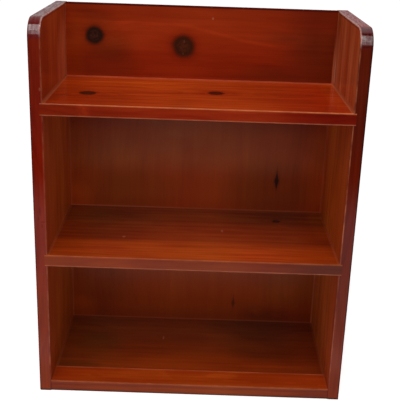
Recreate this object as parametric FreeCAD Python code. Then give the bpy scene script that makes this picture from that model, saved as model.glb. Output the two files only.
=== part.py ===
import FreeCAD, Part
import math
import os

Vector = FreeCAD.Vector

# Three-tier wall shelf in solid boards, in millimetres.
# The origin is on the base, midway across the width and the depth.
# +X is the shelf's right as seen from the front, +Y goes to the wall, +Z is up.

# Overall size, and the board stock
WIDTH = 340.0
HEIGHT = 417.0
DEPTH = 165.0
BOARD = 13.0
PANEL = 4.0

# Clear height of the bottom compartment, and the rise of the back board above the top shelf
BOTTOM_CLEAR = 141.0
BACK_RISE = 84.0

# Bottom shelf: a front strip, and a board behind it that lies a little lower
STRIP_WIDTH = 32.0
STRIP_STEP = 1.0

# Rounded top front corner of the sides, and the eased edges of the boards
CORNER_RADIUS = 20.0
ARRIS = 1.0
BACK_ARRIS = 0.8
STRIP_REAR_ARRIS = 0.6

# Housings that take the ends of the two upper shelves
HOUSING_DEPTH = 3.0
HOUSING_CLEARANCE = 0.1

# Back panel: the rebates in the sides that take it, its gap there, and how far it stays off the floor
REBATE_WIDTH = 6.0
PANEL_GAP = 0.5
PANEL_RAISE = 2.0

# Wooden dowels in the end joints
DOWEL_DIAMETER = 6.0
DOWEL_LENGTH = 24.0
DOWEL_CHAMFER = 0.6
DOWEL_CLEARANCE = 0.05
DOWEL_END_ROOM = 1.0
DOWEL_SKIN = 4.0
SHELF_DOWEL_INSET = 34.0
BACK_DOWEL_INSET = 20.0

# Wire staples that hold the back panel to the shelves' rear edges
STAPLE_CROWN = 6.0
STAPLE_LEG = 15.0
STAPLE_WIRE_WIDTH = 1.2
STAPLE_WIRE = 1.0
STAPLE_CLEARANCE = 0.05
STAPLE_END_ROOM = 1.0
STAPLE_END_INSET = 24.0
STAPLES_PER_SHELF = 3

# Keyhole slots in the back board for two wall screws
KEYHOLE_INSET = 37.0
KEYHOLE_DROP = 38.0
KEYHOLE_ENTRY_DIAMETER = 9.0
KEYHOLE_SLOT_WIDTH = 4.5
KEYHOLE_TRAVEL = 10.0
KEYHOLE_LIP = 3.5
KEYHOLE_DEPTH = 8.0

# Heights of the boards: the middle compartment takes what the others leave
BOTTOM_BOARD_TOP = BOARD - STRIP_STEP
MIDDLE_SHELF_BOTTOM = BOARD + BOTTOM_CLEAR
MIDDLE_SHELF_TOP = MIDDLE_SHELF_BOTTOM + BOARD
TOP_SHELF_TOP = HEIGHT - BACK_RISE
TOP_SHELF_BOTTOM = TOP_SHELF_TOP - BOARD

# Planes that the pieces share
HALF_WIDTH = WIDTH / 2
INNER = HALF_WIDTH - BOARD
HOUSED_END = INNER + HOUSING_DEPTH
FRONT = -DEPTH / 2
REAR = DEPTH / 2
SHELF_REAR = REAR - PANEL
BACK_FRONT = SHELF_REAR - BOARD
STRIP_REAR = FRONT + STRIP_WIDTH

# A cutter runs past the face that it opens by one board's thickness
OVERRUN = BOARD

# Each dowel stands on the blind end of its bore in a side
DOWEL_RADIUS = DOWEL_DIAMETER / 2
DOWEL_BORE_RADIUS = DOWEL_RADIUS + DOWEL_CLEARANCE
DOWEL_OUTER = HALF_WIDTH - DOWEL_SKIN
DOWEL_INNER = DOWEL_OUTER - DOWEL_LENGTH


def block(x_low, x_high, y_low, y_high, z_low, z_high):
    """Rectangular block between two corners."""
    corner = Vector(x_low, y_low, z_low)
    return Part.makeBox(x_high - x_low, y_high - y_low, z_high - z_low, corner)


def cylinder_along_x(radius, x_one, x_two, y, z):
    """Round bar or cutter that lies along X between two places."""
    start = Vector(min(x_one, x_two), y, z)
    return Part.makeCylinder(radius, abs(x_two - x_one), start, Vector(1, 0, 0))


def cylinder_along_y(radius, y_low, y_high, x, z):
    """Round bar or cutter that lies along Y between two places."""
    return Part.makeCylinder(radius, y_high - y_low, Vector(x, y_low, z), Vector(0, 1, 0))


def edges_at(shape, **place):
    """Edges whose ends all have the given coordinates, such as y=FRONT, z=0."""
    found = []
    for edge in shape.Edges:
        ends = [vertex.Point for vertex in edge.Vertexes]
        if all(round(getattr(end, axis) - value, 3) == 0 for end in ends for axis, value in place.items()):
            found.append(edge)
    return found


def round_edges(edges):
    """Of the edges given, those that are circles or arcs."""
    return [edge for edge in edges if isinstance(edge.Curve, Part.Circle)]


# Where the dowels of each board stand, as points (y, z) on its ends
def shelf_dowel_points(front, bottom, top):
    middle = (bottom + top) / 2
    return [(front + SHELF_DOWEL_INSET, middle), (SHELF_REAR - SHELF_DOWEL_INSET, middle)]


def back_board_dowel_points():
    middle = (BACK_FRONT + SHELF_REAR) / 2
    return [(middle, TOP_SHELF_TOP + BACK_DOWEL_INSET), (middle, HEIGHT - BACK_DOWEL_INSET)]


DOWEL_POINTS = {
    "top_shelf": shelf_dowel_points(FRONT, TOP_SHELF_BOTTOM, TOP_SHELF_TOP),
    "middle_shelf": shelf_dowel_points(FRONT, MIDDLE_SHELF_BOTTOM, MIDDLE_SHELF_TOP),
    "bottom_board": shelf_dowel_points(STRIP_REAR, 0, BOTTOM_BOARD_TOP),
    "back_board": back_board_dowel_points(),
}


def bore_for_dowels(board, end, name):
    """Blind bores in both ends of a board that reaches to x = -end and +end."""
    floor = DOWEL_INNER - DOWEL_END_ROOM
    mouth = end + OVERRUN
    bores = []
    for y, z in DOWEL_POINTS[name]:
        for hand in (-1, 1):
            bores.append(cylinder_along_x(DOWEL_BORE_RADIUS, hand * floor, hand * mouth, y, z))
    return board.cut(bores)


# Dowels: plain pegs with chamfered ends, one for each bored point at each end
def dowel(hand, y, z):
    peg = cylinder_along_x(DOWEL_RADIUS, hand * DOWEL_OUTER, hand * DOWEL_INNER, y, z)
    return peg.makeChamfer(DOWEL_CHAMFER, round_edges(peg.Edges))


def dowels(name):
    return Part.makeCompound([dowel(hand, y, z) for y, z in DOWEL_POINTS[name] for hand in (-1, 1)])


# Staples: each stands at a height on the panel, in a row along one shelf's rear edge
STAPLE_ROWS = {
    "top_shelf": (TOP_SHELF_BOTTOM + TOP_SHELF_TOP) / 2,
    "middle_shelf": (MIDDLE_SHELF_BOTTOM + MIDDLE_SHELF_TOP) / 2,
    "bottom_board": BOTTOM_BOARD_TOP / 2,
}


def staple_columns():
    first = INNER - STAPLE_END_INSET
    step = 2 * first / (STAPLES_PER_SHELF - 1)
    return [step * number - first for number in range(STAPLES_PER_SHELF)]


def staple_form(x, z, clearance, end_room, overrun):
    """U of flat wire with its crown in the panel's rear face, or the cutter for its seat."""
    outer = STAPLE_CROWN / 2 + clearance
    inner = STAPLE_CROWN / 2 - STAPLE_WIRE - clearance
    half_wire = STAPLE_WIRE_WIDTH / 2 + clearance
    crown = REAR + overrun
    seat = REAR - STAPLE_WIRE
    tip = REAR - STAPLE_LEG - end_room
    corners = [
        (-outer, crown),
        (outer, crown),
        (outer, tip),
        (inner, tip),
        (inner, seat),
        (-inner, seat),
        (-inner, tip),
        (-outer, tip),
        (-outer, crown),
    ]
    outline = Part.makePolygon([Vector(x + across, y, z - half_wire) for across, y in corners])
    return Part.Face(outline).extrude(Vector(0, 0, 2 * half_wire))


def staple_cutters(name):
    z = STAPLE_ROWS[name]
    return [staple_form(x, z, STAPLE_CLEARANCE, STAPLE_END_ROOM, OVERRUN) for x in staple_columns()]


def back_staples():
    places = [(x, z) for z in STAPLE_ROWS.values() for x in staple_columns()]
    return Part.makeCompound([staple_form(x, z, 0, 0, 0) for x, z in places])


# Sides: full-height boards with a rounded top front corner
def side_outline():
    reach = CORNER_RADIUS * (1 - math.cos(math.pi / 4))
    foot_front = Vector(INNER, FRONT, 0)
    arc_low = Vector(INNER, FRONT, HEIGHT - CORNER_RADIUS)
    arc_middle = Vector(INNER, FRONT + reach, HEIGHT - reach)
    arc_high = Vector(INNER, FRONT + CORNER_RADIUS, HEIGHT)
    top_rear = Vector(INNER, REAR, HEIGHT)
    foot_rear = Vector(INNER, REAR, 0)
    return Part.Wire([
        Part.LineSegment(foot_front, arc_low).toShape(),
        Part.Arc(arc_low, arc_middle, arc_high).toShape(),
        Part.LineSegment(arc_high, top_rear).toShape(),
        Part.LineSegment(top_rear, foot_rear).toShape(),
        Part.LineSegment(foot_rear, foot_front).toShape(),
    ])


def eased_side_blank():
    """Side board, eased all round outside, and along the front, corner and top inside."""
    blank = Part.Face(side_outline()).extrude(Vector(BOARD, 0, 0))
    outer = edges_at(blank, x=HALF_WIDTH)
    inner = edges_at(blank, x=INNER, y=FRONT) + edges_at(blank, x=INNER, z=HEIGHT)
    inner_corner = round_edges(edges_at(blank, x=INNER))
    return blank.makeFillet(ARRIS, outer + inner + inner_corner)


def housing(shelf_bottom, shelf_top):
    """Cutter for the groove that takes a shelf's end, stopped in front of the back panel."""
    roof = shelf_top + HOUSING_CLEARANCE
    return block(INNER - OVERRUN, HOUSED_END, FRONT - OVERRUN, SHELF_REAR, shelf_bottom, roof)


def panel_rebate():
    """Cutter for the step along the rear edge that takes the back panel, stopped above it."""
    roof = TOP_SHELF_TOP + PANEL_GAP
    return block(INNER - OVERRUN, INNER + REBATE_WIDTH, SHELF_REAR, REAR + OVERRUN, -OVERRUN, roof)


def right_side():
    cutters = [
        housing(TOP_SHELF_BOTTOM, TOP_SHELF_TOP),
        housing(MIDDLE_SHELF_BOTTOM, MIDDLE_SHELF_TOP),
        panel_rebate(),
    ]
    for points in DOWEL_POINTS.values():
        for y, z in points:
            cutters.append(cylinder_along_x(DOWEL_BORE_RADIUS, INNER - OVERRUN, DOWEL_OUTER, y, z))
    return eased_side_blank().cut(cutters)


def left_side():
    return right_side().mirror(Vector(0, 0, 0), Vector(1, 0, 0))


# Shelves: the two upper ones reach into the sides' housings
def housed_shelf(name, bottom, top):
    board = block(-HOUSED_END, HOUSED_END, FRONT, SHELF_REAR, bottom, top)
    board = board.makeFillet(ARRIS, edges_at(board, y=FRONT, z=bottom) + edges_at(board, y=FRONT, z=top))
    board = bore_for_dowels(board, HOUSED_END, name)
    return board.cut(staple_cutters(name))


def bottom_front_strip():
    strip = block(-INNER, INNER, FRONT, STRIP_REAR, 0, BOARD)
    strip = strip.makeFillet(ARRIS, edges_at(strip, y=FRONT, z=0) + edges_at(strip, y=FRONT, z=BOARD))
    return strip.makeFillet(STRIP_REAR_ARRIS, edges_at(strip, y=STRIP_REAR, z=BOARD))


def bottom_board():
    board = block(-INNER, INNER, STRIP_REAR, SHELF_REAR, 0, BOTTOM_BOARD_TOP)
    board = bore_for_dowels(board, INNER, "bottom_board")
    return board.cut(staple_cutters("bottom_board"))


# Keyhole: a round entry, a narrow slot above it, and a wide pocket behind the slot's lips
def slot_cutter(width, x, z_low, z_high, y_low, y_high):
    radius = width / 2
    middle = block(x - radius, x + radius, y_low, y_high, z_low, z_high)
    low_end = cylinder_along_y(radius, y_low, y_high, x, z_low)
    high_end = cylinder_along_y(radius, y_low, y_high, x, z_high)
    return middle.fuse([low_end, high_end])


def keyhole(x):
    entry_z = HEIGHT - KEYHOLE_DROP
    seat_z = entry_z + KEYHOLE_TRAVEL
    mouth = SHELF_REAR + OVERRUN
    lip = SHELF_REAR - KEYHOLE_LIP
    floor = SHELF_REAR - KEYHOLE_DEPTH
    entry = cylinder_along_y(KEYHOLE_ENTRY_DIAMETER / 2, lip, mouth, x, entry_z)
    slot = slot_cutter(KEYHOLE_SLOT_WIDTH, x, entry_z, seat_z, lip, mouth)
    pocket = slot_cutter(KEYHOLE_ENTRY_DIAMETER, x, entry_z, seat_z, floor, lip)
    return pocket.fuse([entry, slot])


def top_back_board():
    board = block(-INNER, INNER, BACK_FRONT, SHELF_REAR, TOP_SHELF_TOP, HEIGHT)
    eased = edges_at(board, y=BACK_FRONT) + edges_at(board, y=SHELF_REAR, z=HEIGHT)
    board = board.makeFillet(BACK_ARRIS, eased)
    board = board.cut([keyhole(hand * (INNER - KEYHOLE_INSET)) for hand in (-1, 1)])
    return bore_for_dowels(board, INNER, "back_board")


# Back panel: it lies on the shelves' rear edges and in the sides' rebates
def back_panel():
    edge = INNER + REBATE_WIDTH - PANEL_GAP
    panel = block(-edge, edge, SHELF_REAR, REAR, PANEL_RAISE, TOP_SHELF_TOP)
    for name in STAPLE_ROWS:
        panel = panel.cut(staple_cutters(name))
    return panel


PIECES = {
    "left_side": left_side(),
    "right_side": right_side(),
    "top_shelf": housed_shelf("top_shelf", TOP_SHELF_BOTTOM, TOP_SHELF_TOP),
    "middle_shelf": housed_shelf("middle_shelf", MIDDLE_SHELF_BOTTOM, MIDDLE_SHELF_TOP),
    "bottom_front_strip": bottom_front_strip(),
    "bottom_board": bottom_board(),
    "top_back_board": top_back_board(),
    "back_panel": back_panel(),
    "top_shelf_dowels": dowels("top_shelf"),
    "middle_shelf_dowels": dowels("middle_shelf"),
    "bottom_board_dowels": dowels("bottom_board"),
    "back_board_dowels": dowels("back_board"),
    "back_staples": back_staples(),
}

os.makedirs("parts", exist_ok=True)
for node, piece in PIECES.items():
    piece.exportStep("parts/" + node + ".step")
    print(node, "solids", len(piece.Solids), "valid", piece.isValid(), "volume", round(piece.Volume, 1))
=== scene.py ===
import math

import bmesh
import bpy
from mathutils import Matrix, Vector


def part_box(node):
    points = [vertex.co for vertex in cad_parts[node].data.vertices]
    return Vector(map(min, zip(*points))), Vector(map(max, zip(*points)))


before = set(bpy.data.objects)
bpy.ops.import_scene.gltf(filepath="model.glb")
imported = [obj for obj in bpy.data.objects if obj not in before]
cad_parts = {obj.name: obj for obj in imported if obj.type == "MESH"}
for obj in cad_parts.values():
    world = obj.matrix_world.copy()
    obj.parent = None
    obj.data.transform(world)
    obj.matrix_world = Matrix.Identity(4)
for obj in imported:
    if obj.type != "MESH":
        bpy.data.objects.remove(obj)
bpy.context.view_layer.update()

# Materials work in millimetres, in the frame's own directions
MM = 1000.0


def planes(node):
    """A node's lowest and highest corner, in millimetres."""
    low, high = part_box(node)
    return [MM * value for value in low], [MM * value for value in high]


# Planes that the boards share, from the frame
SIDE_LOW, SIDE_HIGH = planes("right_side")
TOP_LOW, TOP_HIGH = planes("top_shelf")
MIDDLE_LOW, MIDDLE_HIGH = planes("middle_shelf")
STRIP_LOW, STRIP_HIGH = planes("bottom_front_strip")
FLOOR_LOW, FLOOR_HIGH = planes("bottom_board")
INNER = SIDE_LOW[0]
OUTER = SIDE_HIGH[0]
FRONT = SIDE_LOW[1]
HEIGHT = SIDE_HIGH[2]
TOP_SHELF = TOP_HIGH[2]
MIDDLE_SHELF = MIDDLE_HIGH[2]
BOTTOM_SHELF = FLOOR_HIGH[2]
BACK_FACE = planes("top_back_board")[0][1]
PANEL_FACE = planes("back_panel")[0][1]

# The sides' rounded front corner: its radius, the level where it starts and the depth where it ends
CORNER = 20.0
ROUND_START = HEIGHT - CORNER
ROUND_END = FRONT + CORNER

# How far behind a face its tint ends, and how near to it the tint is full
FACE_END = 1.6
FACE_FULL = 0.5

# The rubbed strip along an eased edge, and the pale lines where two boards meet
RUBBED = 2.0
JOINT_LINE = 1.5


class Value:
    """A number that varies over a surface. Arithmetic on it adds Math nodes."""

    def __init__(self, nodes, socket):
        self.nodes = nodes
        self.socket = socket

    def math(self, operation, *terms):
        node = self.nodes.add("ShaderNodeMath", {"operation": operation}, dict(enumerate(terms)))
        return Value(self.nodes, node.outputs["Value"])

    def __add__(self, other):
        return self.math("ADD", self, other)

    def __radd__(self, other):
        return self.math("ADD", other, self)

    def __sub__(self, other):
        return self.math("SUBTRACT", self, other)

    def __rsub__(self, other):
        return self.math("SUBTRACT", other, self)

    def __mul__(self, other):
        return self.math("MULTIPLY", self, other)

    def __rmul__(self, other):
        return self.math("MULTIPLY", other, self)

    def __truediv__(self, other):
        return self.math("DIVIDE", self, other)

    def __abs__(self):
        return self.math("ABSOLUTE", self)

    def __pow__(self, other):
        return self.math("POWER", self, other)

    def most(self, other):
        return self.math("MAXIMUM", self, other)

    def fraction(self):
        return self.math("FRACT", self)

    def fade(self, start, end):
        """0 at start, 1 at end, smooth between and held beyond."""
        low, high = min(start, end), max(start, end)
        node = self.nodes.add(
            "ShaderNodeMapRange",
            {"interpolation_type": "SMOOTHSTEP"},
            {"Value": self, "From Min": low, "From Max": high},
        )
        risen = Value(self.nodes, node.outputs["Result"])
        return risen if start < end else 1 - risen

    def stepped(self, stops):
        """A strength that changes along a direction, from pairs of a place and the strength there."""
        start, strength = stops[0]
        total = strength
        for end, following in stops[1:]:
            total = total + self.fade(start, end) * (following - strength)
            start, strength = end, following
        return total

    def near(self, place, reach):
        """1 at a place, 0 from a reach away on."""
        return abs(self - place).fade(reach, 0.0)


class Nodes:
    """A tree of nodes, emptied first, and the ways to add to it."""

    def __init__(self, tree):
        self.tree = tree
        self.tree.nodes.clear()

    def add(self, kind, settings=None, inputs=None):
        """Any node: its settings are set first, then its sockets get values or links."""
        node = self.tree.nodes.new(kind)
        for name, setting in (settings or {}).items():
            if name == "stops":
                self.set_stops(node.color_ramp, setting)
            else:
                setattr(node, name, setting)
        for name, given in (inputs or {}).items():
            socket = given.socket if isinstance(given, Value) else given
            if isinstance(socket, bpy.types.NodeSocket):
                self.tree.links.new(socket, node.inputs[name])
            else:
                node.inputs[name].default_value = socket
        return node

    def set_stops(self, ramp, stops):
        while len(ramp.elements) < len(stops):
            ramp.elements.new(1.0)
        for element, (place, colour) in zip(ramp.elements, stops):
            element.position = place
            element.color = (*colour, 1.0)

    def parts(self, vector):
        """x, y and z of a vector."""
        split = self.add("ShaderNodeSeparateXYZ", None, {0: vector})
        return [Value(self, split.outputs[axis]) for axis in "XYZ"]

    def noise(self, x, y, z, detail=2.0):
        """Soft noise from 0 to 1 with features about one unit across."""
        vector = self.add("ShaderNodeCombineXYZ", None, {0: x, 1: y, 2: z}).outputs[0]
        settings = {"noise_dimensions": "3D"}
        inputs = {"Vector": vector, "Scale": 1.0, "Detail": detail, "Roughness": 0.5}
        return Value(self, self.add("ShaderNodeTexNoise", settings, inputs).outputs[0])

    def ramp(self, value, stops):
        return self.add("ShaderNodeValToRGB", {"stops": stops}, {0: value}).outputs["Color"]

    def mix(self, amount, first, second, blend="MIX"):
        """One colour over another."""
        settings = {"data_type": "RGBA", "blend_type": blend, "clamp_factor": True}
        inputs = {0: amount}
        for socket, colour in ((6, first), (7, second)):
            inputs[socket] = (*colour, 1.0) if isinstance(colour, tuple) else colour
        return self.add("ShaderNodeMix", settings, inputs).outputs[2]

    def stain(self, amount, colour, tint):
        """A see-through stain over a colour."""
        return self.mix(amount, colour, tint, "MULTIPLY")

    def graded(self, place, stops):
        """A tint that changes along a direction, from pairs of a place and its tint."""
        start, tint = stops[0]
        for end, following in stops[1:]:
            tint = self.mix(place.fade(start, end), tint, following)
            start = end
        return tint

    def bump(self, height, strength):
        inputs = {"Height": height, "Strength": strength, "Distance": BUMP_HEIGHT}
        return self.add("ShaderNodeBump", None, inputs).outputs["Normal"]


class Finish(Nodes):
    """One material."""

    def __init__(self, name):
        self.material = bpy.data.materials.new(name)
        self.material.use_nodes = True
        super().__init__(self.material.node_tree)

    def place(self):
        """x, y and z of the surface in millimetres."""
        coordinates = self.add("ShaderNodeTexCoord").outputs["Object"]
        inputs = {0: coordinates, "Scale": MM}
        scaled = self.add("ShaderNodeVectorMath", {"operation": "SCALE"}, inputs)
        return self.parts(scaled.outputs["Vector"])

    def surface(self, **sockets):
        """The shader itself. Names use _ for the spaces in the sockets' names."""
        inputs = {name.replace("_", " "): value for name, value in sockets.items()}
        shader = self.add("ShaderNodeBsdfPrincipled", None, inputs)
        self.add("ShaderNodeOutputMaterial", None, {"Surface": shader.outputs[0]})
        return self.material


# Stains, from the deepest to the palest wood of a board, as linear colours
SHELF_STAIN = [(0.0, (0.30, 0.022, 0.003)), (0.45, (0.48, 0.045, 0.005)), (1.0, (0.76, 0.11, 0.012))]
FLOOR_STAIN = [(0.0, (0.20, 0.022, 0.005)), (0.45, (0.34, 0.044, 0.007)), (1.0, (0.52, 0.08, 0.010))]
SIDE_STAIN = [(0.0, (0.34, 0.045, 0.008)), (0.45, (0.54, 0.090, 0.015)), (1.0, (0.70, 0.15, 0.026))]
BACK_STAIN = [(0.0, (0.26, 0.0155, 0.002)), (0.45, (0.37, 0.029, 0.0035)), (1.0, (0.54, 0.060, 0.009))]
PANEL_STAIN = [(0.0, (0.40, 0.060, 0.009)), (0.45, (0.56, 0.100, 0.015)), (1.0, (0.70, 0.16, 0.024))]
BARE_PANEL = [(0.2, (0.30, 0.14, 0.06)), (0.8, (0.48, 0.27, 0.13))]
BEECH_WOOD = [(0.3, (0.42, 0.25, 0.12)), (0.7, (0.62, 0.42, 0.24))]
ZINC = [(0.3, (0.36, 0.36, 0.35)), (0.7, (0.58, 0.58, 0.56))]

# Colours of rubbed, chipped and dry places, and of a painted reflection
WORN_WOOD = (0.80, 0.19, 0.058)
PALE_JOINT = (0.70, 0.20, 0.08)
# The next colour is a painted highlight along the back board's foot
FOOT_PAINTED_HIGHLIGHT = (0.85, 0.20, 0.085)
FLECK = (0.78, 0.34, 0.18)
SCUFF = (0.50, 0.20, 0.12)
DULL_ROUND = (0.24, 0.11, 0.12)
DRY_RIM = (0.80, 0.52, 0.47)
DRY_TOP = (0.12, 0.008, 0.003)
# The next colour is a painted reflection, a pale haze high on the back panel
PAINTED_HAZE = (0.60, 0.40, 0.22)

# Tints that are laid over a stain: they deepen it below 1 and lighten it above
PLAIN = (1.0, 1.0, 1.0)
SCRATCH = (0.68, 0.66, 0.70)
FOOT_SHADE = (0.20, 0.27, 0.36)
KNOT_HALO = (0.55, 0.38, 0.42)
KNOT_STREAK = (0.60, 0.35, 0.5)
PALE_PATCH = (1.45, 1.7, 1.5)
OUTER_FACE = (0.74, 0.64, 0.66)
OUTER_EDGE = (0.34, 0.26, 0.30)
PORE = (0.55, 0.5, 0.6)
PIT = (0.28, 0.22, 0.35)
UNDER_RIM = (0.50, 0.36, 0.45)
DARK_FIBRE = (0.70, 0.60, 0.70)
UPPER_STRIP = (0.88, 0.84, 0.9)
LIGHT_STREAK = (1.25, 1.40, 1.40)
# The next tint is painted shade, low on the right of the back panel
LOW_PAINTED_SHADE = (0.55, 0.48, 0.5)
PANEL_KNOT_HALO = (0.55, 0.45, 0.5)

# Lengths and widths of the grain's fibres, streaks and blotches, along and across the board
FIBRE = (45.0, 1.1)
STREAK = (170.0, 7.0)
TRAY_STREAK = (120.0, 2.4)
BLOTCH = (85.0, 38.0)

# Growth rings: how far apart they lie, how they drift and ripple, and how far they part around a knot
RINGS_APART = 5.0
BACK_RINGS_APART = 6.0
PANEL_RINGS_APART = 7.0
DRIFT_LENGTH = 190.0
DRIFT_ACROSS = 46.0
DRIFT_INTO = 20.0
RIPPLE_WIDTH = 22.0
RIPPLE = 7.0
KNOT_SWELL = 9.0
SHORT_RIPPLE = 70.0
LONG_RIPPLE = 260.0

# Lacquer: the height of its unevenness in metres, the length of its waves, and its weight on the sides
BUMP_HEIGHT = 0.0001
LACQUER_WAVE = 9.0
SIDE_LACQUER = 0.45


class Board:
    """Stained pine with its own grain directions, all in millimetres."""

    def __init__(self, name, along, across, into, seed):
        self.finish = Finish(name)
        place = dict(zip("xyz", self.finish.place()))
        self.x, self.y, self.z = place["x"], place["y"], place["z"]
        self.along = place[along]
        self.across = place[across]
        self.into = place[into]
        self.seed = seed
        self.knots = []
        self.swell = None
        self.worn = None

    def knot(self, along, across, radius, rim, heart, blur, lean=0.0, face=0.0):
        """A branch through the board, which may lean along the grain. The rings part around it."""
        length = self.along - along
        if lean:
            length = length - (self.into - face) * lean
        width = self.across - across
        size = 1.2 * radius
        shift = self.seed + len(self.knots)
        wobble = self.finish.noise(self.along / size, self.across / size, shift) - 0.5
        distance = (length * length + width * width) ** 0.5 / radius + wobble * 0.3
        self.knots.append((distance, rim, heart, blur))
        far = (length / 2.2) * (length / 2.2) + width * width
        bulge = (far ** 0.5 / (2.6 * radius)).fade(1.0, 0.0)
        self.swell = bulge if self.swell is None else self.swell + bulge

    def stretched(self, length, width, shift, detail=2.0):
        """Noise that is longer along the grain than across it."""
        across = self.across / width
        into = self.into / width + shift
        return self.finish.noise(self.along / length, across, into, detail)

    def grain(self, pith, spacing, rings=0.14, streaks=0.75, ripple_length=SHORT_RIPPLE):
        """0 in the deepest wood to 1 in the palest. The pith is given across and into the board."""
        drift = self.finish.noise(self.along / DRIFT_LENGTH, self.seed, 0.0, detail=1.0) - 0.5
        ripple = self.stretched(ripple_length, RIPPLE_WIDTH, self.seed) - 0.5
        side = self.across - pith[0] + drift * DRIFT_ACROSS
        depth = self.into - pith[1] + drift * DRIFT_INTO
        radius = (side * side + depth * depth) ** 0.5 + ripple * RIPPLE
        if self.swell is not None:
            radius = radius + self.swell * KNOT_SWELL
        ring = (radius / spacing).fraction()
        self.late = ring.fade(0.30, 0.90) * ring.fade(1.0, 0.92)
        self.fibre = self.stretched(*FIBRE, self.seed, detail=3.0)
        self.streak = self.stretched(*STREAK, self.seed)
        blotch = self.stretched(*BLOTCH, -self.seed)
        fine = (self.fibre - 0.5) * 0.30 - self.late * rings
        return 0.5 + fine + (self.streak - 0.5) * streaks + (blotch - 0.5) * 0.70

    def knot_colour(self, colour):
        """Each knot's halo, rim and mottled heart."""
        finish = self.finish
        mottle = finish.noise(self.along / 2.2, self.across / 2.2, self.seed, detail=3.0)
        for distance, rim, heart, blur in self.knots:
            inside = finish.mix(distance.fade(0.85, 0.20) * mottle.fade(0.28, 0.62), rim, heart)
            colour = finish.stain(distance.fade(1.9, 0.9) * 0.45, colour, KNOT_HALO)
            colour = finish.mix(distance.fade(1.0 + blur, 1.0 - blur), colour, inside)
        return colour

    def front_face(self):
        """1 on the front edge of a side or a shelf."""
        return self.y.fade(FRONT + FACE_END, FRONT + FACE_FULL)

    def arris(self, first_gap, second_gap, size=RUBBED):
        """1 on the eased edge between two faces, from the distances to both."""
        return first_gap.fade(size, size * 0.25) * second_gap.fade(size, size * 0.25)

    def patchy(self, size=14.0):
        """Uneven patches from 0 to 1."""
        patches = self.finish.noise(self.x / size, self.y / size, self.z / size + self.seed, detail=3.0)
        return patches.fade(0.25, 0.70)

    def wear(self, edge, amount, colour, pale=WORN_WOOD):
        """Stain and lacquer rubbed thin along an edge."""
        self.worn = edge if self.worn is None else self.worn.most(edge)
        return self.finish.mix(edge * amount * (0.55 + self.patchy() * 0.45), colour, pale)

    def shaded(self, colour, first, second, patches, where=1.0):
        """Soft deeper or paler patches, of wood and of painted shade: the centre, the reach both ways and
        the tint of each.
        """
        for place, other, reach, other_reach, tint in patches:
            far = ((first - place) / reach) ** 2 + ((second - other) / other_reach) ** 2
            colour = self.finish.stain(far.fade(1.0, 0.0) * where, colour, tint)
        return colour

    def spot(self, first, second, reach, other_reach):
        """A small mark, from the distances to its middle and its reach both ways."""
        return ((first / reach) ** 2 + (second / other_reach) ** 2).fade(1.0, 0.3)

    def fleck(self, along, across, length, width):
        """A small pale speck where the lacquer is chipped."""
        return self.spot(self.along - along, self.across - across, length, width)

    def done(self, colour, lacquer=1.0, gloss=0.12, coat_index=1.5, grit=0.0):
        """The board's material: stain under lacquer, which is thin where the board is worn."""
        finish = self.finish
        wave = LACQUER_WAVE
        waviness = finish.noise(self.x / wave, self.y / wave, self.z / wave + self.seed, detail=1.0)
        skin = self.fibre * 0.5 - self.late * 0.35 + waviness * 1.6 + grit
        if self.worn is not None:
            lacquer = lacquer * (1 - self.worn * 0.75)
        return finish.surface(
            Base_Color=colour,
            Roughness=0.42 + (self.fibre - 0.5) * 0.2,
            Specular_IOR_Level=0.0,
            Coat_Weight=lacquer,
            Coat_Roughness=gloss,
            Coat_IOR=coat_index,
            Normal=finish.bump(skin, 0.35),
        )


# Knots, each with its dark rim, its heart, and how far its edge fades
DARK_KNOT = {"rim": (0.024, 0.0115, 0.0065), "heart": (0.085, 0.020, 0.014), "blur": 0.30}
BROWN_KNOT = {"rim": (0.056, 0.0145, 0.0055), "heart": (0.105, 0.0225, 0.009), "blur": 0.32}
SHELF_KNOT = {"rim": (0.022, 0.007, 0.003), "heart": (0.060, 0.020, 0.004), "blur": 0.22}
FAINT_KNOT = {"rim": (0.048, 0.008, 0.001), "heart": (0.070, 0.012, 0.002), "blur": 0.22}


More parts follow.
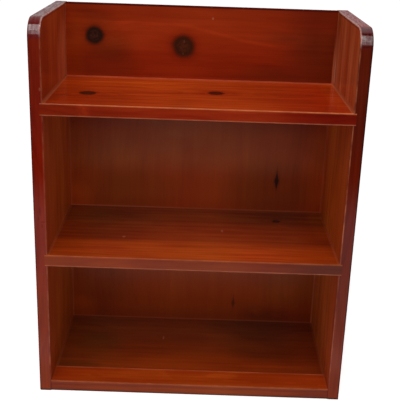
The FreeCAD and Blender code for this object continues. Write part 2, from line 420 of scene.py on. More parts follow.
class ShelfBoard(Board):
    """A level board with its grain along X.

    Its look holds the kind of its knots, the strength of its rings and streaks, its tints along the depth,
    the width and the front edge, its patches, where the front edge has a pale patch and where its wear
    grows, and the strength of the wear and of the pale lines.
    """

    def __init__(self, name, low, high, seed, look):
        super().__init__(name, "x", "y", "z", seed)
        self.look = look
        self.low = low
        self.high = high
        self.front = self.front_face()
        self.upper_face = self.z.fade(high[2] - 0.5, high[2] - 0.1)

    def wood(self, stains, pith, knots):
        """Stained grain, tinted along the depth and the width, with its knots and painted shade toward both
        ends.
        """
        finish, look = self.finish, self.look
        for place in knots:
            self.knot(*place, **look["knot"])
        tone = self.grain(pith, RINGS_APART, rings=look["rings"], streaks=look["streaks"])
        # Paler in the middle and darker toward both ends: painted shade where the sides cut off the light
        tone = tone + (abs(self.x).fade(150.0, 20.0) - 0.4) * 0.35
        colour = finish.ramp(tone, stains)
        colour = finish.stain(1.0, colour, finish.graded(self.y, look["depth"]))
        colour = finish.stain(1.0, colour, finish.graded(self.x, look["width"]))
        colour = self.knot_colour(colour)
        if len(knots) == 2:
            colour = self.knot_streak(colour, *knots)
        return colour

    def knot_streak(self, colour, first, second):
        """A dark streak from one knot to the next, and a little beyond both."""
        start, start_y = first[:2]
        end, end_y = second[:2]
        line = start_y + (self.x - start) * ((end_y - start_y) / (end - start))
        streak = (self.y - line + (self.fibre - 0.5) * 5).near(0.0, 5.0)
        streak = streak * self.x.fade(start - 12, start) * self.x.fade(end + 60, end)
        return self.finish.stain(streak * 0.55, colour, KNOT_STREAK)

    def front_edge(self, colour):
        """The front edge's own tint, a pale patch on it, its rubbed upper arris and its pale lower one."""
        finish, look = self.finish, self.look
        colour = finish.stain(self.front, colour, finish.graded(self.x, look["edge"]))
        if "pale_patch" in look:
            patch = (self.x - look["pale_patch"]).near(0.0, 9.0) * self.patchy(6.0)
            colour = finish.stain(self.front * patch, colour, PALE_PATCH)
        front_gap = self.y - FRONT
        upper = self.arris(front_gap, self.high[2] - self.z)
        if "wear_start" in look:
            start = look["wear_start"]
            upper = upper * (0.5 + 0.5 * self.x.fade(start - 40, start))
        colour = self.wear(upper, look["wear"], colour)
        lower = self.arris(front_gap, self.z - self.low[2]) * (0.55 + self.patchy() * 0.45)
        return finish.mix(lower * look["lower_line"], colour, PALE_JOINT)

    def joints(self, colour):
        """Pale lines at the rear arris and the ends, a painted highlight at the back board's foot, and shade
        where it stands.
        """
        finish, look = self.finish, self.look
        if "rear_arris" in look:
            level = self.high[2]
            rear = (self.high[1] - self.y).fade(3.6, 1.4) * self.z.fade(level - 1.2, level - 0.6)
            rear = rear * (0.3 + self.patchy(22.0) * 0.7)
            colour = finish.mix(rear * look["rear_arris"], colour, PALE_JOINT)
        # A painted highlight on the shelf along the back board's foot
        if "foot_painted_highlight" in look:
            foot = (self.y - BACK_FACE).near(0.0, 4.4) * self.upper_face
            colour = finish.mix(foot * look["foot_painted_highlight"], colour, FOOT_PAINTED_HIGHLIGHT)
        colour = finish.stain(self.front * self.z.fade(2.8, 1.0), colour, FOOT_SHADE)
        ends = abs(self.x).fade(INNER - 3.2, INNER - 1.0) * self.upper_face
        return finish.mix(ends * look["end_line"], colour, PALE_JOINT)


def shelf_finish(name, low, high, stains, seed, pith, look, knots=(), flecks=()):
    board = ShelfBoard(name, low, high, seed, look)
    colour = board.wood(stains, pith, knots)
    for fleck in flecks:
        colour = board.finish.mix(board.fleck(*fleck) * 0.35, colour, FLECK)
    colour = board.shaded(colour, board.x, board.y, look["patches"])
    colour = board.front_edge(colour)
    colour = board.joints(colour)
    dry = board.front * board.z.fade(18.0, 8.0)
    return board.done(colour, lacquer=1.0 - dry * 0.75)


class SideBoard(Board):
    """A side: upright grain, end grain on its top and round, and a deeper front edge.

    Its look holds the strength of its streaks, its tints down the front edge and the inner face, how rubbed
    the inner front arris is, patches above the top shelf, the end grain's colour, the top's tint over it,
    the gloss there and how broken it is, the strength of other marks, and chips and scratches.
    """

    def __init__(self, name, hand, seed, look):
        super().__init__(name, "z", "y", "x", seed)
        self.look = look
        self.hand = hand
        self.outward = self.x * hand
        self.inner_gap = self.outward - INNER
        self.front = self.front_face()
        self.inside = self.outward.fade(INNER + FACE_END, INNER + FACE_FULL)
        ahead = (ROUND_END - self.y).most(0.0)
        above = (self.z - ROUND_START).most(0.0)
        self.edge_gap = CORNER - (ahead * ahead + above * above) ** 0.5
        self.rounded = self.z.fade(ROUND_START, ROUND_START + 6)
        self.end = self.end_face()
        self.pores = self.finish.noise(self.x / 0.8, self.y / 1.3, self.z / 1.3 + seed)
        outer_edge = self.outward.fade(OUTER - 1.9, OUTER - 0.7) * self.edge_gap.fade(1.8, 0.9)
        self.outer_edge = outer_edge * self.z.fade(HEIGHT - 3, HEIGHT - 9)

    def end_face(self):
        """1 on the top and the round, where the end grain shows."""
        end = self.z.fade(ROUND_START - 1, ROUND_START + 2)
        end = end * self.outward.fade(INNER + 0.3, INNER + 1.6)
        end = end * self.outward.fade(OUTER - 0.2, OUTER - 1.0)
        on_top = self.z.fade(HEIGHT - 1.2, HEIGHT - 0.4)
        on_round = self.y.fade(ROUND_END + 2, ROUND_END)
        return end * on_top.most(on_round)

    def wood(self, pith):
        """Stained grain, streaked above the top shelf, with the tints of each face."""
        finish, look = self.finish, self.look
        pith = (pith[0], pith[1] * self.hand)
        tone = self.grain(pith, RINGS_APART, streaks=look["streaks"], ripple_length=LONG_RIPPLE)
        tray = self.z.fade(TOP_SHELF - 4, TOP_SHELF + 4)
        fine = self.stretched(*TRAY_STREAK, self.seed)
        tone = tone + (self.streak + fine - 1) * tray * look["tray_streaks"]
        colour = finish.ramp(tone, SIDE_STAIN)
        colour = finish.stain(self.inside, colour, finish.graded(self.z, look["inner"]))
        under_tray = self.inside * self.z.fade(TOP_SHELF, TOP_SHELF - 6)
        colour = finish.stain(under_tray, colour, finish.graded(self.y, INNER_DEPTH))
        colour = self.shaded(colour, self.y, self.z, look["tray_patches"], self.inside * tray)
        colour = finish.stain(self.front, colour, finish.graded(self.z, look["front"]))
        outside = self.outward.fade(OUTER - 0.6, OUTER - 0.1) * (1 - self.front)
        return finish.stain(outside, colour, OUTER_FACE)

    def joints(self, colour):
        """Pale lines on the inner face, where the shelves, the back board and the panel meet it."""
        at_joint = self.outward.fade(INNER + 0.4, INNER + 0.05)
        lines = (self.z - TOP_SHELF).near(0.4, 4.2) * 0.85
        for level in (MIDDLE_SHELF, BOTTOM_SHELF):
            lines = lines.most((self.z - level).near(0.4, JOINT_LINE) * 0.45)
        behind_tray = (self.y - BACK_FACE).near(-0.4, JOINT_LINE) * self.z.fade(TOP_SHELF - 1, TOP_SHELF)
        below_tray = (self.y - PANEL_FACE).near(-0.6, JOINT_LINE) * self.z.fade(TOP_SHELF, TOP_SHELF - 1)
        lines = lines.most(behind_tray.most(below_tray) * self.look["corner_line"])
        return self.finish.mix(lines * at_joint, colour, PALE_JOINT)

    def end_grain(self, colour):
        """Porous end grain, with a dull patch and a row of pits near the top of the round."""
        finish, look = self.finish, self.look
        wood = finish.stain(self.pores.fade(0.62, 0.38), look["end_grain"], PORE)
        wood = finish.stain(self.y.fade(ROUND_END - 6, ROUND_END), wood, look["top"])
        colour = finish.mix(self.end, colour, wood)
        dull = self.end * self.z.fade(HEIGHT - 5.5, HEIGHT - 3.5) * self.y.fade(ROUND_END, ROUND_END - 5)
        colour = finish.mix(dull * (0.4 + self.pores * 0.6) * look["dull_round"], colour, DULL_ROUND)
        pits = finish.noise(self.x / 1.4, self.z / 2.5, self.seed).fade(0.50, 0.60)
        pits = pits * self.z.near(HEIGHT - 6.0, 2.4) * self.end
        return finish.stain(pits * look["pits"], colour, PIT)

    def marks(self, colour):
        """The front edge's rubbed inner arris, its chips and its scratches."""
        finish, look = self.finish, self.look
        below = self.z.fade(ROUND_START + 4, ROUND_START - 4) * self.z.fade(8.0, 40.0)
        rubbed = (self.y - FRONT).fade(1.3, 0.5) * self.inner_gap.fade(1.8, 0.5) * below * self.patchy()
        colour = finish.mix(rubbed * self.z.stepped(look["edge_line"]), colour, PALE_JOINT)
        for x, z, width, height in look["chips"]:
            chip = self.spot(self.x - x, self.z - z, width, height)
            colour = finish.mix(chip * self.front * 0.3, colour, SCUFF)
        for x, z, width, height in look["scratches"]:
            scratch = self.spot(self.x - x, self.z - z, width, height)
            colour = finish.stain(scratch * self.front, colour, SCRATCH)
        return colour

    def edges(self, colour):
        """The round's dry rim and a deep line under it, dark fibres, the foot's shade and the outer edge."""
        finish, look = self.finish, self.look
        rim = self.arris(self.inner_gap, self.edge_gap) * self.rounded * (0.15 + self.patchy(6.0) * 0.85)
        colour = finish.mix(rim * look["rim"], colour, DRY_RIM)
        under_rim = self.inner_gap.fade(0.6, 0.2) * self.edge_gap.near(2.3, 1.5) * self.rounded
        colour = finish.stain(under_rim * 0.7, colour, UNDER_RIM)
        colour = finish.stain(self.front * self.fibre.fade(0.56, 0.36) * 0.3, colour, DARK_FIBRE)
        colour = finish.stain(self.front * self.z.fade(2.6, 0.8), colour, FOOT_SHADE)
        return finish.stain(self.outer_edge * look["outer_shade"], colour, OUTER_EDGE)

    def lacquer(self):
        """Glossy and a little broken on the end grain, thinner on the faces, dry on parts of the front."""
        finish, look = self.finish, self.look
        sheen = finish.noise(self.x / 1.5, self.y / 16, self.z / 16 + self.seed).fade(0.32, 0.68)
        broken = finish.noise(self.x / 2.2, self.y / 3.0, self.z / 3.0 + self.seed, detail=3.0)
        broken = broken.fade(0.50, 0.62) * look["broken"]
        end_lacquer = (0.38 + sheen * 0.62) * (1 - broken) * look["end_gloss"]
        lacquer = SIDE_LACQUER + self.end * (end_lacquer - SIDE_LACQUER)
        dry = (self.z.near(262.0, 60.0) * 0.6).most(self.z.fade(75.0, 20.0) * 0.8)
        return lacquer * (1 - self.outer_edge * 0.9) * (1 - self.front * dry)


def side_finish(name, hand, seed, pith, look):
    board = SideBoard(name, hand, seed, look)
    colour = board.wood(pith)
    colour = board.joints(colour)
    colour = board.end_grain(colour)
    colour = board.marks(colour)
    colour = board.edges(colour)
    grit = board.end * board.pores * 0.5
    return board.done(colour, lacquer=board.lacquer(), coat_index=1.85, grit=grit)


# Knots of the back board: x, z and radius. The left one leans along the grain
LEFT_KNOT = (-122.9, 381.5, 10.5)
MIDDLE_KNOT = (-20.1, 371.6, 12.6)
KNOT_LEAN = 1.7

# Tints of the back board where it is darker, at its right end and in streaks, from the foot up
BACK_DARK_TINTS = [(345.0, (0.56, 0.80, 1.0)), (375.0, (0.44, 0.54, 0.85)), (408.0, (0.58, 0.56, 0.80))]

# Dark streaks of the back board: height, half their height, x where each starts and is full, and strength
BACK_DARK_STREAKS = [
    (340.0, 19.0, 5.0, 100.0, 0.9),
    (385.0, 17.0, 55.0, 110.0, 0.8),
    (411.0, 14.0, 95.0, 150.0, 0.5),
    (411.0, 17.0, -95.0, -145.0, 0.7),
]

# Deeper and paler patches of the back board: x, z, reach in x and z, and tint
BACK_PATCHES = [
    (-106.0, 370.0, 36.0, 24.0, (0.78, 0.90, 0.9)),
    (-126.0, 398.0, 36.0, 16.0, (0.82, 0.92, 0.9)),
    (-112.0, 350.0, 52.0, 32.0, (0.74, 0.86, 0.9)),
    (-152.0, 346.0, 22.0, 34.0, (1.12, 1.50, 1.2)),
    (-146.0, 380.0, 26.0, 20.0, (0.82, 1.0, 1.0)),
]

# Specks of the back board: x, z, half their length and height, and strength
BACK_FLECKS = [
    (13.1, 404.4, 1.7, 1.7, 0.3),
    (-19.4, 377.4, 0.9, 2.4, 0.10),
    (-20.4, 363.2, 1.1, 1.5, 0.06),
]


def back_board_streaks(board, colour):
    """Darker at the right end and in streaks, and one light streak that dips to the right."""
    finish = board.finish
    sway = finish.noise(board.x / 60, board.z / 40, 2.0) - 0.5
    dark = board.x.fade(70.0, 135.0)
    for height, half, start, full, strength in BACK_DARK_STREAKS:
        streak = (board.z - height + sway * 16).near(0.0, half) * board.x.fade(start, full)
        dark = dark.most(streak * strength)
    colour = finish.stain(dark, colour, finish.graded(board.z, BACK_DARK_TINTS))
    colour = board.shaded(colour, board.x, board.z, BACK_PATCHES)
    colour = finish.stain(board.z.fade(396.0, 408.0), colour, UPPER_STRIP)
    dip = 396.5 - board.x.fade(-40.0, 110.0) * 24
    light = (board.z - dip + sway * 6).near(0.0, 3.4) * board.x.fade(-125.0, -90.0)
    light = light * board.x.fade(115.0, 85.0)
    return finish.stain(light * (0.4 + board.patchy(20.0) * 0.5), colour, LIGHT_STREAK)


def back_board_edges(board, colour):
    """Specks of the face, a painted highlight along its foot and on its worn ends, and glue at its right
    end.
    """
    finish = board.finish
    face_gap = board.y - BACK_FACE
    face = face_gap.fade(2.0, 1.0)
    for *fleck, strength in BACK_FLECKS:
        colour = finish.mix(board.fleck(*fleck) * face * strength, colour, FLECK)
    # The foot's pale line is a painted highlight; the ends are worn and carry a painted highlight too
    foot = face * (board.z - TOP_SHELF).fade(1.5, 0.5)
    ends = board.arris(face_gap, INNER - abs(board.x), 1.2)
    colour = board.wear(foot, 0.9, colour, FOOT_PAINTED_HIGHLIGHT)
    colour = board.wear(ends, 0.7, colour, PALE_JOINT)
    glue = (INNER - board.x).fade(3.0, 1.4) * face * board.z.fade(398.0, 345.0)
    return finish.mix(glue * 0.7, colour, PALE_JOINT)


def back_board_finish():
    """Board with its grain along X, standing on the top shelf. Its upper edge is dry."""
    board = Board("back_board_stain", "x", "z", "y", 5.3)
    finish = board.finish
    board.knot(*LEFT_KNOT, **DARK_KNOT, lean=KNOT_LEAN, face=BACK_FACE)
    board.knot(*MIDDLE_KNOT, **BROWN_KNOT)
    tone = board.grain((300.0, BACK_FACE + 40.0), BACK_RINGS_APART, rings=0.05, streaks=0.55)
    # Darker toward the foot: painted shade
    tone = tone + (board.z.fade(345.0, 390.0) - 0.6) * 0.40
    colour = finish.ramp(tone, BACK_STAIN)
    colour = back_board_streaks(board, colour)
    colour = board.knot_colour(colour)
    colour = back_board_edges(board, colour)
    top = board.z.fade(HEIGHT - 1.6, HEIGHT - 0.6)
    colour = finish.mix(top, colour, DRY_TOP)
    return board.done(colour, lacquer=1 - top)


# Tints of the back panel, from the top down. The deep tint at the top is a painted shadow under the top
# shelf.
PANEL_TINTS = [
    (284.0, (0.66, 0.54, 0.30)),
    (258.0, (0.96, 1.06, 0.73)),
    (232.0, (1.0, 1.08, 0.83)),
    (208.0, (0.97, 0.78, 0.50)),
    (190.0, (0.96, 0.72, 0.46)),
    (168.0, (0.88, 0.56, 0.36)),
    (155.0, (0.88, 0.56, 0.36)),
    (80.0, (0.90, 0.79, 0.37)),
    (62.0, (0.92, 0.75, 0.35)),
    (36.0, (0.79, 0.61, 0.29)),
    (15.0, (0.62, 0.43, 0.24)),
]

# Deeper and paler patches of the back panel: x, z, reach in x and z, and tint. The deep one at x 92 and z
# 192 is a painted shadow low on the right of the middle compartment.
PANEL_PATCHES = [
    (-150.0, 174.0, 26.0, 32.0, (1.30, 1.40, 1.2)),
    (150.0, 220.0, 26.0, 100.0, (1.18, 1.22, 1.1)),
    (-78.0, 186.0, 72.0, 42.0, (0.82, 0.92, 0.9)),
    # Painted shadow low on the right of the middle compartment
    (92.0, 192.0, 74.0, 52.0, (0.68, 0.80, 0.7)),
    (128.0, 60.0, 56.0, 34.0, (0.97, 1.34, 1.3)),
    (-150.0, 22.0, 30.0, 26.0, (1.35, 1.50, 1.2)),
    (-116.0, 64.0, 50.0, 44.0, (0.86, 0.96, 0.8)),
    (-108.0, 206.0, 66.0, 66.0, (1.05, 1.30, 1.1)),
]

# Narrow upright knots of the back panel: x, z, half their width and height, and how deep their stain is
PANEL_KNOTS = [(99.2, 207.2, 3.4, 13.0, 1.0), (52.7, 37.5, 2.4, 9.0, 0.6)]
PANEL_KNOT = (0.030, 0.010, 0.008)
PANEL_KNOT_TAIL = (0.06, 0.018, 0.010)


def panel_shade_and_haze(board, colour):
    """Painted shade low on the right, soft patches, and a pale painted reflection, a haze, near the top."""
    finish = board.finish
    # Painted shade at the panel's foot, low on the right
    low_painted_shade = abs(board.x - 95.0).fade(42.0, 12.0) * (board.z - 22.0).near(0.0, 20.0)
    low_painted_shade = low_painted_shade * finish.noise(board.x / 26, board.z / 15, 6.0).fade(0.22, 0.55)
    colour = finish.stain(low_painted_shade * 0.8, colour, LOW_PAINTED_SHADE)
    colour = board.shaded(colour, board.x, board.z, PANEL_PATCHES)
    # A painted reflection: a pale haze high on the panel
    cloud = finish.noise(board.x / 60, board.z / 45, 4.0)
    bloom_and_painted_haze = board.z.fade(222.0, 250.0) * abs(board.x + 10.0).fade(130.0, 10.0) * cloud.fade(0.2, 0.7)
    return finish.mix(bloom_and_painted_haze * 0.17, colour, PAINTED_HAZE)


def panel_knots(board, colour):
    """Upright knots, each with a halo and a thin tail above it."""
    finish = board.finish
    for x, z, half_width, half_height, depth in PANEL_KNOTS:
        gap = abs(board.x - x) / half_width + abs(board.z - z) / half_height
        gap = gap + (board.fibre - 0.5) * 0.5
        colour = finish.stain(gap.fade(1.9, 0.9) * 0.4 * depth, colour, PANEL_KNOT_HALO)
        colour = finish.mix(gap.fade(1.15, 0.55) * depth, colour, PANEL_KNOT)
        tail = (board.x - x).near(0.0, 1.1) * board.z.fade(z, z + 4)
        tail = tail * board.z.fade(z + 2 * half_height, z + 6)
        colour = finish.mix(tail * 0.6 * depth, colour, PANEL_KNOT_TAIL)
    return colour


def panel_joints(board):
    """Strength of the pale lines along the sides and above the two lower shelves."""
    lines = abs(board.x).fade(INNER - 2.4, INNER - 0.6)
    lower_right = board.x.fade(0.0, 10.0) * board.z.fade(MIDDLE_SHELF, MIDDLE_SHELF - 20)
    lines = lines * (1 + 0.8 * lower_right)
    to_the_left = 0.8 + 0.6 * board.x.fade(30.0, -80.0)
    for level, strength in ((MIDDLE_SHELF, to_the_left), (BOTTOM_SHELF, 0.75)):
        lines = lines.most((board.z - level).near(0.4, 2.2) * strength)
    return lines


def panel_finish():
    """Thin panel with upright grain: stained and lacquered in front, nearly bare behind."""
    board = Board("back_panel_stain", "z", "x", "y", 8.1)
    finish = board.finish
    tone = board.grain((20.0, PANEL_FACE + 60.0), PANEL_RINGS_APART, rings=0.05, streaks=0.35)
    # Paler in the middle and darker toward the sides: painted shade
    tone = tone + (abs(board.x).fade(150.0, 20.0) - 0.5) * 0.30
    colour = finish.ramp(tone, PANEL_STAIN)
    colour = finish.stain(1.0, colour, finish.graded(board.z, PANEL_TINTS))
    colour = panel_shade_and_haze(board, colour)
    colour = panel_knots(board, colour)
    rear = board.y.fade(PANEL_FACE + 1.0, PANEL_FACE + 2.0)
    colour = finish.mix(panel_joints(board) * (1 - rear) * 0.45, colour, PALE_JOINT)
    colour = finish.mix(rear * 0.6, colour, finish.ramp(tone, BARE_PANEL))
    board.worn = rear
    return board.done(colour, lacquer=0.8, gloss=0.3)


def dowel_finish():
    finish = Finish("bare_beech")
    x, y, z = finish.place()
    flecks = finish.noise(x / 6, y / 0.5, z / 0.5, detail=3.0)
    return finish.surface(
        Base_Color=finish.ramp(flecks, BEECH_WOOD),
        Roughness=0.6 + flecks * 0.2,
        Normal=finish.bump(flecks, 0.4),
    )


def staple_finish():
    finish = Finish("galvanised_wire")
    x, y, z = finish.place()
    bloom_and_painted_haze = finish.noise(x / 1.5, y / 1.5, z / 1.5, detail=3.0)
    return finish.surface(Base_Color=finish.ramp(bloom_and_painted_haze, ZINC), Metallic=1.0, Roughness=0.32 + bloom_and_painted_haze * 0.25)


# Looks of the shelves: a patch is x, y, reach in x and y, and tint, and a mark is its strength. The deeper
# patches toward the rear of the middle shelf and the bottom board are partly painted shade.
TOP_SHELF_LOOK = {
    "knot": SHELF_KNOT,
    "rings": 0.14,
    "streaks": 0.75,
    "depth": [(-20.0, (1.08, 0.95, 0.9)), (45.0, (1.32, 1.36, 1.2))],
    "width": [(60.0, PLAIN), (140.0, (1.10, 0.85, 0.8))],
    "patches": [
        (-112.0, 14.0, 120.0, 66.0, (1.26, 1.50, 1.3)),
        (154.0, 10.0, 20.0, 120.0, (1.15, 1.60, 1.3)),
        (148.0, 64.0, 28.0, 7.0, (1.15, 2.0, 3.5)),
    ],
    "edge": [
        (-150.0, (0.67, 0.56, 0.8)),
        (-10.0, (0.71, 0.51, 0.8)),
        (30.0, (0.71, 0.51, 0.8)),
        (150.0, (0.43, 0.22, 0.4)),
    ],
    "wear": 0.95,
    "wear_start": -105.0,
    "pale_patch": -116.0,
    "lower_line": 0.7,
    "foot_painted_highlight": 0.9,
    "end_line": 0.65,
}
MIDDLE_SHELF_LOOK = {
    "knot": FAINT_KNOT,
    "rings": 0.08,
    "streaks": 0.75,
    # Painted light and shade along the depth: the paler front is lit, the band near y -24 is the top shelf's
    # shadow edge, and the rear lies in shade
    "depth": [
        (-65.0, (1.12, 1.34, 1.1)),
        (-42.0, (1.03, 1.18, 1.0)),
        (-24.0, (0.71, 0.72, 0.8)),
        (0.0, (0.82, 0.92, 0.9)),
        (55.0, (0.68, 1.08, 0.88)),
    ],
    "width": [(-130.0, (0.98, 1.24, 1.0)), (-60.0, PLAIN), (60.0, PLAIN), (130.0, (0.90, 1.05, 1.0))],
    "patches": [
        # These two deeper patches are partly painted shade toward the rear
        (-95.0, 20.0, 70.0, 60.0, (0.78, 0.84, 0.9)),
        (85.0, 58.0, 66.0, 42.0, (0.78, 0.84, 0.9)),
        (154.0, 45.0, 20.0, 80.0, (1.20, 1.50, 1.3)),
        (95.0, -70.0, 70.0, 34.0, (1.14, 1.05, 1.0)),
        (-112.0, -66.0, 56.0, 26.0, (0.93, 0.80, 1.1)),
        (-128.0, 52.0, 44.0, 40.0, (1.04, 1.25, 1.1)),
    ],
    "edge": [
        (-150.0, (0.73, 0.68, 0.9)),
        (-10.0, (0.47, 0.42, 0.78)),
        (30.0, (0.47, 0.42, 0.78)),
        (150.0, (0.34, 0.33, 0.95)),
    ],
    "wear": 0.5,
    "lower_line": 0.7,
    "end_line": 0.25,
}
STRIP_LOOK = {
    "rings": 0.14,
    "streaks": 0.75,
    "depth": [(0.0, (0.97, 1.10, 1.0))],
    "width": [(40.0, PLAIN), (140.0, (1.12, 1.20, 1.3))],
    "patches": [],
    "edge": [(-150.0, (0.38, 0.365, 0.35)), (0.0, (0.40, 0.42, 0.42)), (150.0, (0.345, 0.35, 0.36))],
    "wear": 0.4,
    "lower_line": 0.0,
    "rear_arris": 0.6,
    "end_line": 0.1,
}
BOTTOM_BOARD_LOOK = {
    "rings": 0.08,
    "streaks": 0.45,
    "depth": [(-10.0, (0.80, 0.86, 0.9)), (55.0, (0.96, 1.42, 1.3))],
    "width": [(-120.0, (1.14, 1.45, 1.4)), (-60.0, PLAIN)],
    "patches": [
        # The deeper patches are partly painted shade
        (72.0, 66.0, 72.0, 46.0, (0.64, 0.71, 0.85)),
        (84.0, 10.0, 62.0, 46.0, (0.72, 0.78, 0.8)),
        (-116.0, 8.0, 40.0, 34.0, (0.78, 0.92, 0.9)),
        (-134.0, -44.0, 34.0, 11.0, (0.72, 0.78, 0.8)),
        (20.0, -42.0, 150.0, 34.0, (1.18, 1.08, 1.0)),
    ],
    "edge": [(0.0, PLAIN)],
    "wear": 0.0,
    "lower_line": 0.0,
    "end_line": 0.2,
}

# Tints of the sides' inner faces below the tray, from the front to the panel
INNER_DEPTH = [
    (-82.0, (0.78, 0.62, 0.80)),
    (-50.0, (0.92, 0.92, 0.95)),
    (-14.0, (1.10, 1.30, 1.10)),
    (40.0, (1.17, 1.60, 1.30)),
    (72.0, (1.17, 1.50, 1.30)),
]

# Looks of the sides: a patch is y, z, reach in y and z, and tint, a chip x, z, half its width and height
LEFT_SIDE_LOOK = {
    "streaks": 0.60,
    "tray_streaks": 0.2,
    "front": [
        (380.0, (0.50, 0.20, 0.30)),
        (325.0, (0.51, 0.16, 0.27)),
        (265.0, (0.53, 0.125, 0.08)),
        (205.0, (0.61, 0.225, 0.3)),
        (140.0, (0.60, 0.30, 0.39)),
        (100.0, (0.53, 0.325, 0.43)),
        (60.0, (0.53, 0.335, 0.50)),
        (15.0, (0.43, 0.335, 0.48)),
    ],
    # These inner tints are partly painted light that lifts the inner faces of the compartments
    "inner": [
        (336.0, (1.04, 1.0, 1.4)),
        (328.0, (1.14, 1.3, 1.5)),
        (160.0, (1.14, 1.3, 1.5)),
        (150.0, (0.86, 0.90, 0.95)),
    ],
    "edge_line": [(380.0, 0.6), (250.0, 0.35), (200.0, 0.2), (170.0, 0.5)],
    "tray_patches": [
        (-72.0, 376.0, 44.0, 130.0, (0.84, 0.62, 0.60)),
        (50.0, 350.0, 52.0, 62.0, (1.46, 2.50, 4.0)),
    ],
    "end_grain": (0.25, 0.018, 0.016),
    "top": (1.4, 1.1, 1.2),
    "end_gloss": 1.12,
    "broken": 0.15,
    "dull_round": 0.0,
    "pits": 0.2,
    "corner_line": 0.45,
    "rim": 0.8,
    "outer_shade": 0.5,
    "chips": [(-159.1, 347.1, 1.2, 2.2)],
    "scratches": [
        (-163.0, 217.0, 1.0, 6.5),
        (-164.7, 209.0, 0.9, 2.8),
        (-160.2, 205.0, 3.4, 1.0),
        (-161.4, 200.5, 0.9, 3.0),
    ],
}
RIGHT_SIDE_LOOK = {
    "streaks": 0.95,
    "tray_streaks": 0.30,
    "front": [
        (380.0, (0.30, 0.15, 0.20)),
        (320.0, (0.26, 0.115, 0.17)),
        (265.0, (0.34, 0.125, 0.07)),
        (205.0, (0.40, 0.175, 0.34)),
        (140.0, (0.40, 0.24, 0.36)),
        (100.0, (0.44, 0.285, 0.33)),
        (60.0, (0.44, 0.295, 0.36)),
        (15.0, (0.335, 0.235, 0.39)),
    ],
    # These inner tints are partly painted light that lifts the inner faces of the compartments
    "inner": [
        (336.0, (1.18, 1.46, 2.6)),
        (328.0, (1.3, 1.5, 1.4)),
        (160.0, (1.3, 1.5, 1.4)),
        (150.0, (1.08, 1.22, 1.6)),
    ],
    "edge_line": [(380.0, 0.6), (240.0, 0.75), (200.0, 0.9), (165.0, 0.5), (140.0, 0.3), (60.0, 0.45)],
    "tray_patches": [
        (10.0, 350.0, 12.0, 95.0, (1.22, 1.55, 1.8)),
        (-9.0, 385.0, 7.0, 60.0, (1.0, 0.84, 0.7)),
        (-34.0, 345.0, 15.0, 70.0, (1.15, 1.36, 1.5)),
        (-60.0, 402.0, 13.0, 34.0, (0.92, 0.68, 0.6)),
        (50.0, 350.0, 22.0, 48.0, (1.15, 1.65, 2.1)),
        (58.0, 410.0, 18.0, 24.0, (0.76, 0.78, 0.55)),
        (64.0, 342.0, 7.0, 32.0, (1.35, 2.6, 5.0)),
    ],
    "end_grain": (0.165, 0.012, 0.006),
    "top": (3.2, 1.6, 1.2),
    "end_gloss": 0.96,
    "broken": 0.45,
    "dull_round": 0.8,
    "pits": 1.0,
    "corner_line": 0.95,
    "rim": 0.75,
    "outer_shade": 1.0,
    "chips": [],
    "scratches": [],
}

# Knots of the shelves (x, y and radius), and their chipped specks (x, y, half their length and width)
TOP_SHELF_KNOTS = [(-119.1, -25.9, 8.8), (18.6, -6.4, 8.4)]
MIDDLE_SHELF_KNOTS = [(98.3, 43.2, 4.4)]
MIDDLE_SHELF_FLECKS = [(-80.5, -22.0, 2.3, 3.0), (32.0, 5.5, 1.8, 4.8)]
BOTTOM_BOARD_FLECKS = [(-35.2, 26.1, 1.3, 5.2)]

FINISHES = {
    "left_side": side_finish("left_side_stain", -1, 1.7, (40.0, INNER - 70.0), LEFT_SIDE_LOOK),
    "right_side": side_finish("right_side_stain", 1, 3.1, (-10.0, INNER - 60.0), RIGHT_SIDE_LOOK),
    "top_shelf": shelf_finish(
        "top_shelf_stain", TOP_LOW, TOP_HIGH, SHELF_STAIN, 2.2, (-10.0, TOP_SHELF - 60.0), TOP_SHELF_LOOK,
        knots=TOP_SHELF_KNOTS,
    ),
    "middle_shelf": shelf_finish(
        "middle_shelf_stain", MIDDLE_LOW, MIDDLE_HIGH, SHELF_STAIN, 4.4, (20.0, MIDDLE_SHELF - 70.0),
        MIDDLE_SHELF_LOOK, knots=MIDDLE_SHELF_KNOTS, flecks=MIDDLE_SHELF_FLECKS,
    ),
    "bottom_front_strip": shelf_finish(
        "front_strip_stain", STRIP_LOW, STRIP_HIGH, SHELF_STAIN, 6.6, (-60.0, -50.0), STRIP_LOOK,
    ),
    "bottom_board": shelf_finish(
        "bottom_board_stain", FLOOR_LOW, FLOOR_HIGH, FLOOR_STAIN, 7.5, (30.0, -60.0), BOTTOM_BOARD_LOOK,
        flecks=BOTTOM_BOARD_FLECKS,
    ),
    "top_back_board": back_board_finish(),
    "back_panel": panel_finish(),
    "back_staples": staple_finish(),
}
BEECH = dowel_finish()

for name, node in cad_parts.items():
    node.data.materials.clear()
    node.data.materials.append(FINISHES.get(name, BEECH))


# Stage: a pale floor that runs out of sight, and a darker one under it that the lacquer mirrors
PALE_FLOOR_HALF = 40.0
PALE_FLOOR_LEVEL = -0.0003
MIRRORED_FLOOR_HALF = 7.0
MIRRORED_FLOOR_LEVEL = -0.0006


def flat_floor(name, half, level):
    """A flat sheet and its mesh, of half a width and at a level."""
    mesh = bpy.data.meshes.new(name)
    shape = bmesh.new()
    bmesh.ops.create_grid(shape, x_segments=1, y_segments=1, size=half)
    bmesh.ops.translate(shape, verts=shape.verts, vec=(0.0, 0.0, level))
    shape.to_mesh(mesh)
    shape.free()
    floor = bpy.data.objects.new(name, mesh)
    bpy.context.scene.collection.objects.link(floor)
    return floor, mesh


def grey(level):
    return (level, level, level)


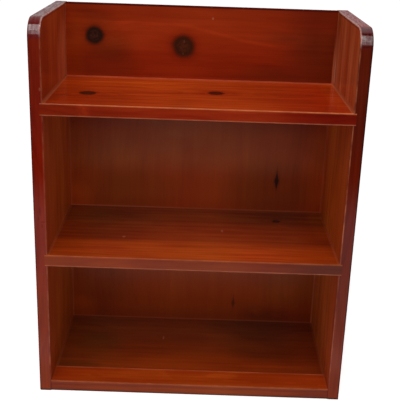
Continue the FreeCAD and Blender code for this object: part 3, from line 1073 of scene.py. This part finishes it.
def pale_floor():
    """Seen by the camera alone, and a little paler far from the shelf."""
    floor, mesh = flat_floor("floor", PALE_FLOOR_HALF, PALE_FLOOR_LEVEL)
    floor.visible_diffuse = False
    floor.visible_glossy = False
    floor.visible_shadow = False
    finish = Finish("pale_floor")
    x, y = finish.place()[:2]
    far = ((x * x + y * y) ** 0.5).fade(300.0, 1500.0)
    mesh.materials.append(finish.surface(
        Base_Color=(*grey(0.70), 1.0), Roughness=0.9, Specular_IOR_Level=0.0,
        Emission_Color=finish.mix(far, grey(0.80), grey(0.93)), Emission_Strength=1.0,
    ))


def mirrored_floor():
    """Hidden from the camera: dark far in front, pale nearer by, and bright under the shelf."""
    floor, mesh = flat_floor("mirrored_floor", MIRRORED_FLOOR_HALF, MIRRORED_FLOOR_LEVEL)
    floor.visible_camera = False
    finish = Finish("mirrored_floor")
    y = finish.place()[1]
    tone = finish.mix(y.fade(-950.0, -700.0), grey(0.05), grey(0.60))
    light = finish.mix(y.fade(-230.0, -109.0), grey(0.0), grey(0.90))
    mesh.materials.append(finish.surface(
        Base_Color=tone, Roughness=0.9, Specular_IOR_Level=0.0, Emission_Color=light, Emission_Strength=1.0,
    ))


def room_light():
    """Dim in front and above, pale behind."""
    world = bpy.data.worlds.new("studio")
    world.use_nodes = True
    room = Nodes(world.node_tree)
    backward = room.parts(room.add("ShaderNodeTexCoord").outputs["Generated"])[1]
    light = room.ramp(backward * 0.5 + 0.5, [(0.45, grey(0.04)), (0.95, grey(0.45))])
    background = room.add("ShaderNodeBackground", None, {"Color": light})
    room.add("ShaderNodeOutputWorld", None, {"Surface": background.outputs[0]})
    bpy.context.scene.world = world


def softbox(name, place, target, width, height, radiance, mirrored=True):
    """Area light that looks at a target, with the brightness of its face given."""
    light = bpy.data.lights.new(name, "AREA")
    light.shape = "RECTANGLE"
    light.size = width
    light.size_y = height
    light.energy = radiance * math.pi * width * height
    lamp = bpy.data.objects.new(name, light)
    lamp.location = place
    lamp.rotation_euler = (Vector(target) - Vector(place)).to_track_quat("-Z", "Y").to_euler()
    lamp.visible_camera = False
    lamp.visible_glossy = mirrored
    bpy.context.scene.collection.objects.link(lamp)


# Places in metres that the lamps look at
TOP_FRONT = (0.0, -0.08, 0.41)
MIDDLE_FRONT = (0.0, -0.08, 0.20)


def lamps():
    """Two softboxes above the front, and fill that isn't mirrored, from low in front and both sides."""
    softbox("key_softbox", (-0.10, -0.84, 1.58), TOP_FRONT, width=1.3, height=0.96, radiance=2.8)
    softbox("low_softbox", (0.0, -1.32, 1.07), TOP_FRONT, width=1.0, height=0.49, radiance=1.6)
    place = (0.0, -1.35, 0.22)
    softbox("low_fill", place, MIDDLE_FRONT, width=2.4, height=0.44, radiance=0.47, mirrored=False)
    for hand in (-1, 1):
        place = (1.1 * hand, -0.75, 0.12)
        target = (-0.15 * hand, 0.0, 0.11)
        softbox("side_fill", place, target, width=0.7, height=0.5, radiance=0.5, mirrored=False)


# Camera: its place in metres, its turn, downward tilt and roll in degrees, and its lens in millimetres
CAMERA_PLACE = (0.00457, -0.89306, 0.52045)
CAMERA_TURN = -0.027
CAMERA_TILT = 19.366
CAMERA_ROLL = 1.898
CAMERA_LENS = 73.98
CAMERA_SENSOR = 36.0


def photo_camera():
    data = bpy.data.cameras.new("camera")
    data.lens = CAMERA_LENS
    data.sensor_width = CAMERA_SENSOR
    camera = bpy.data.objects.new("camera", data)
    turn = Matrix.Rotation(math.radians(CAMERA_TURN), 4, "Z")
    tilt = Matrix.Rotation(math.radians(90.0 - CAMERA_TILT), 4, "X")
    roll = Matrix.Rotation(math.radians(CAMERA_ROLL), 4, "Z")
    camera.matrix_world = Matrix.Translation(CAMERA_PLACE) @ turn @ tilt @ roll
    bpy.context.scene.collection.objects.link(camera)
    bpy.context.scene.camera = camera


pale_floor()
mirrored_floor()
room_light()
lamps()
photo_camera()
bpy.context.scene.view_settings.view_transform = "Standard"
bpy.context.scene.view_settings.look = "None"
